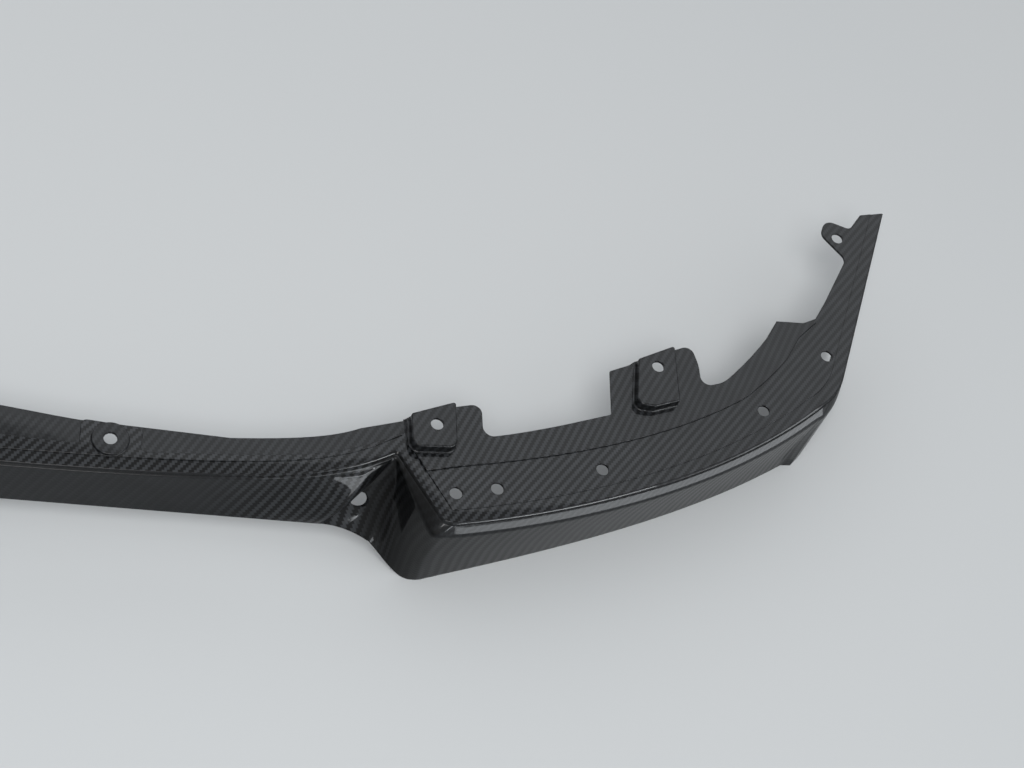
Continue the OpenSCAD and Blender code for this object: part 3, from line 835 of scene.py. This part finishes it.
class LIP_OT_flange(bpy.types.Operator):
    """Lay the flange: the middle's field and band, and each wing's fields"""
    bl_idname = "lip.flange"
    bl_label = "Flange"

    def execute(self, context):
        plan = Plan(context.scene.lip_plan)
        tow = context.scene.lip_finish.tow / MM
        skins = self.middle(plan), self.band(plan), *self.wings(plan)
        # Painted sheen: how strongly the weave's contrast shows on each plate, for how each field catches the
        # light
        band_sheen = lambda x: 0.1 + 0.4 * ease((x - 90) / 60)
        front_sheen = lambda x: 1 - 0.5 * ease((x - 450) / 350)
        rear_sheen = lambda x: 0.8 - 0.5 * ease((x - 480) / 250)
        looks = [(50, lambda x: 1), (56, band_sheen)] + [(50, front_sheen)] * 2 + [(62, rear_sheen)] * 2
        for (name, skin), (angle, show) in zip(skins, looks):
            laid_piece(name, skin, angle, tow, show)
        return {"FINISHED"}

    def middle(self, plan):
        skin = Skin()
        pad = plan.round_pad
        front = [beside(plan.middle, 0.97 * k / 54, plan.strip_w) for k in range(54)] + [plan.step_apex]
        plate(skin, both_sides(front) + both_sides(self.ridge_rear(plan))[::-1],
              [circle(pad, plan.ROUND_SEAT), circle((-pad[0], pad[1]), plan.ROUND_SEAT)],
              plan.field_top, plan.wall)
        return "middle_field", skin

    def ridge_run(self, plan, back):
        """The raised field's rear edge past the round pad, or a line that far in front of it."""
        return [beside(plan.middle, mixed(plan.ridge_start, 0.97, k / 28),
                       mixed(plan.ridge_w, plan.strip_w + 2.5, k / 28) - back) for k in range(29)]

    def ridge_rear(self, plan):
        """The raised field's rear edge, which widens round the round pad."""
        pad = plan.round_pad
        path = [[0, plan.ridge_back, 0], [pad[0] - 32, plan.ridge_back - 3.5, 0]]
        path += [[pad[0] + 30 * x, pad[1] + 30 * y, r]
                 for x, y, r in ((-0.8, -0.17, 2), (-0.8, 0.58, 5), (0.87, 0.45, 6), (0.8, -0.3, 5))]
        return rounded(path + [[p[0], p[1], 0] for p in self.ridge_run(plan, 0)])

    def band(self, plan):
        skin, pad = Skin(), plan.round_pad
        front = [[0, plan.ridge_back - plan.LAP], [pad[0] - 32, plan.ridge_back - 3.5 - plan.LAP]]
        front += [pad + plan.ROUND_SEAT * turn(a) for a in np.linspace(221, -41, 30)]
        front += self.ridge_run(plan, plan.LAP) + [[plan.rise_x + 2, plan.rise_front[1] + 2]]

        def rear(x):
            width = mixed(plan.centre_w, 1.25 * plan.middle_w, ease(x / (pad[0] + 10)))
            return plan.recess_back + width

        back = [[x, rear(x)] for x in np.linspace(0, pad[0] - 24, 17)]
        back += [beside(plan.middle, mixed(plan.ridge_start, 0.9, k / 28),
                        plan.middle_w * (1 - 0.08 * ease(k / 28))) for k in range(29)]
        back.append([plan.rise_x + 2, plan.rise_back])
        plate(skin, both_sides(front) + both_sides(back)[::-1], [], plan.band_top, plan.wall)
        return "middle_band", skin

    def crease(self, plan, back):
        """The line between a wing's two fields, or a line that far behind it."""
        # It waves by 4 mm along the wing and turns inward before the corner.
        depth = lambda u: plan.crease_w + 4 * math.cos(math.radians(220 * u)) + 55 * max(0, u - 0.8)
        out = [plan.crease_start + np.array([0, back])]
        out += [beside(plan.wing, u, depth(u) + back) for u in np.linspace(1 / 11.5, 11 / 11.5, 41)]
        return out + [plan.on_arm(37, plan.crease_w + 2 + back), plan.on_arm(62, plan.crease_w - 10 + back)]

    def wings(self, plan):
        step = [beside(plan.wing, k / plan.WING, plan.strip_w) for k in plan.WING_PARTS]
        corner = spread(mitre(plan.corner, turn(plan.CORNER_ANGLE), plan.arm_way, plan.strip_w),
                        turn(plan.CORNER_ANGLE), plan.arm_way, plan.CORNER_RUN, 10)
        front = [plan.crease_start, plan.step_nose] + step + corner + [plan.arm_end(plan.strip_w)]
        front += self.arm_rear(plan)[::-1] + self.crease(plan, plan.LAP)[::-1]
        rear = [plan.rise_front] + self.crease(plan, 0) + [plan.arm_start] + self.wing_rear(plan)[::-1]
        screws = [circle(p, plan.hole_d / 2) for p in plan.row + [plan.ear]]
        seats = [moved(turning_left(o), -2.1) for o in pad_outlines(plan)]  # hidden below the pads' feet
        made = []
        for field, outline, holes, top in (("front_field", front, screws, plan.field_top),
                                           ("rear_field", rear, seats, plan.rear_top)):
            for side, flip in SIDES:
                skin = Skin()
                plate(skin, flip(outline), [flip(h) for h in holes], top, plan.wall)
                made.append((f"{side}_{field}", skin))
        return made

    def wing_rear(self, plan):
        """The edge behind a wing's rear field: two tabs, the notch between them and the scoop."""
        path = [[plan.rise_x, plan.rise_back, 0]]
        path += plan.at_pad(plan.inner_pad, ((0.51, 0.64, 0), (1.08, 0.78, 8), (1.08, -0.09, 10)))
        path += [[*beside(plan.wing, u, plan.flange_w), 0] for u in np.linspace(0.22, 0.4, 10)]
        path += plan.at_pad(plan.outer_pad, ((-1.14, -1.256, 3), (-1.09, -0.103, 1.5), (-0.615, 0.115, 0),
                                             (-0.487, 0.218, 0), (0.95, 0.85, 8), (1.09, 0.32, 30),
                                             (1.11, -0.27, 12)))
        path += [[*beside(plan.wing, mixed(0.775, 0.955, k / 5), plan.flange_w + mixed(-10, 4, k / 5)), 30]
                 for k in range(6)]
        path += [[*plan.on_arm(44.8, plan.flange_w - 1.5), 0], [*plan.on_arm(55.3, 2 * plan.arm_w), 8],
                 [*plan.arm_start, 0]]
        return rounded(path)

    def arm_rear(self, plan):
        """The side arm's inner edge, with its ear."""
        ear, r = plan.ear_along, 16.5
        return rounded([
            [*plan.arm_start, 0], [*plan.on_arm(90, 1.4 * plan.arm_w), 30],
            [*plan.on_arm(ear - r - 4.5, plan.arm_w + 0.5), 9],
            [*plan.on_arm(ear - 0.2 * r, plan.ear_in + r), 0.6 * r],
            [*plan.on_arm(ear + r, plan.ear_in + r), r - 0.5], [*plan.on_arm(ear + r + 1, plan.arm_w + 4), 6],
            [*plan.arm_end(plan.arm_w - 2.5), 0]])


def pad_outlines(plan):
    """The outlines of the right wing's two square pads."""
    at = lambda pad, spots: rounded(plan.at_pad(pad, spots), True, 9)
    return [
        at(plan.inner_pad, ((-0.56, 0.22, 3), (0.44, 0.62, 2), (0.44, -0.54, 8), (-0.56, -0.6, 8))),
        at(plan.outer_pad, ((-0.45, 0.167, 3), (0.46, 0.628, 2), (0.45, -0.859, 2), (-0.154, -1.077, 6),
                            (-0.59, -1.064, 9)))]


class LIP_OT_pads(bpy.types.Operator):
    """Draw up the square pads, the round pads and the rise beside each nose"""
    bl_idname = "lip.pads"
    bl_label = "Pads"

    def execute(self, context):
        plan = Plan(context.scene.lip_plan)
        tow = context.scene.lip_finish.tow / MM
        inner, outer = pad_outlines(plan)
        r = plan.hole_d / 2
        disc = circle(plan.round_pad, plan.ROUND_PAD, 72)
        # Name, outline, hole, foot, top, and the rounding at the top and at the foot.
        jobs = [("inner_pad", inner, plan.inner_pad, plan.rear_top, plan.pad_top, 1.6),
                ("outer_pad", outer, plan.outer_pad, plan.rear_top, plan.pad_top, 1.6),
                ("round_pad", disc, plan.round_pad, plan.field_top, plan.field_top + plan.ROUND_RISE, 0.8)]
        for name, outline, centre, foot, top, soft in jobs:
            for side, flip in SIDES:
                skin = Skin()
                raised_pad(skin, flip(outline), flip(circle(centre, r)), foot, top, plan.wall, soft, soft)
                # The weave's contrast at half strength, a painted sheen
                laid_piece(f"{side}_{name}", skin, 58, tow, lambda x: 0.5, climb=0.6)
        self.rises(plan, tow)
        return {"FINISHED"}

    def rises(self, plan, tow):
        """The sloping step from the band up to the rear field."""
        for side, sign in (("right_", 1), ("left_", -1)):
            low, high, back = plan.rise_x - 2.5, plan.rise_x + 2.5, plan.rise_back
            points, count, across = [], 12, 9
            for k in range(count + 1):
                y = mixed(plan.rise_front[1] - 3, back, k / count)
                for t in np.linspace(0, 1, across):
                    z = mixed(plan.band_top, plan.rear_top, ease(t)) + 0.02
                    points.append((sign * mixed(low, high, t), y, z))
                points += [(sign * high, y, plan.band_top - 1), (sign * low, y, plan.band_top - 1)]
            ring = across + 2
            faces = []
            for k in range(count):
                for j in range(ring):
                    a, b = k * ring + j, k * ring + (j + 1) % ring
                    faces.append((a, b, b + ring, a + ring)[::sign])
            faces += [tuple(range(ring))[::-sign], tuple(range(count * ring, count * ring + ring))[::sign]]
            # The weave's contrast at half strength, a painted sheen
            piece = make_piece(side + "rise", placed(points), faces,
                               lambda i: cloth_at(points[i][0], points[i][1], 58, tow), lambda i: 0.5)
            piece.data.set_sharp_from_angle(angle=math.radians(50))
            finish_piece(piece)


class LIP_PT_panel(bpy.types.Panel):
    """Lists the lip's pieces, sizes and finish"""
    bl_idname = "LIP_PT_panel"
    bl_label = "Front splitter lip"
    bl_space_type = "VIEW_3D"
    bl_region_type = "UI"
    bl_category = "Splitter"

    def draw(self, context):
        layout = self.layout
        for operator in OPERATORS:
            layout.operator(operator.bl_idname)
        for group in (context.scene.lip_plan, context.scene.lip_finish):
            box = layout.box()
            for name in group.__annotations__:
                box.prop(group, name)


OPERATORS = (LIP_OT_stage, LIP_OT_front, LIP_OT_flange, LIP_OT_pads)
CLASSES = (LipPlan, LipFinish) + OPERATORS + (LIP_PT_panel,)


def register():
    for cls in CLASSES:
        bpy.utils.register_class(cls)
    bpy.types.Scene.lip_plan = bpy.props.PointerProperty(type=LipPlan)
    bpy.types.Scene.lip_finish = bpy.props.PointerProperty(type=LipFinish)


def unregister():
    del bpy.types.Scene.lip_finish
    del bpy.types.Scene.lip_plan
    for cls in reversed(CLASSES):
        bpy.utils.unregister_class(cls)


def main():
    register()
    bpy.ops.lip.stage()
    bpy.ops.lip.front()
    bpy.ops.lip.flange()
    bpy.ops.lip.pads()


if __name__ == "__main__":
    main()
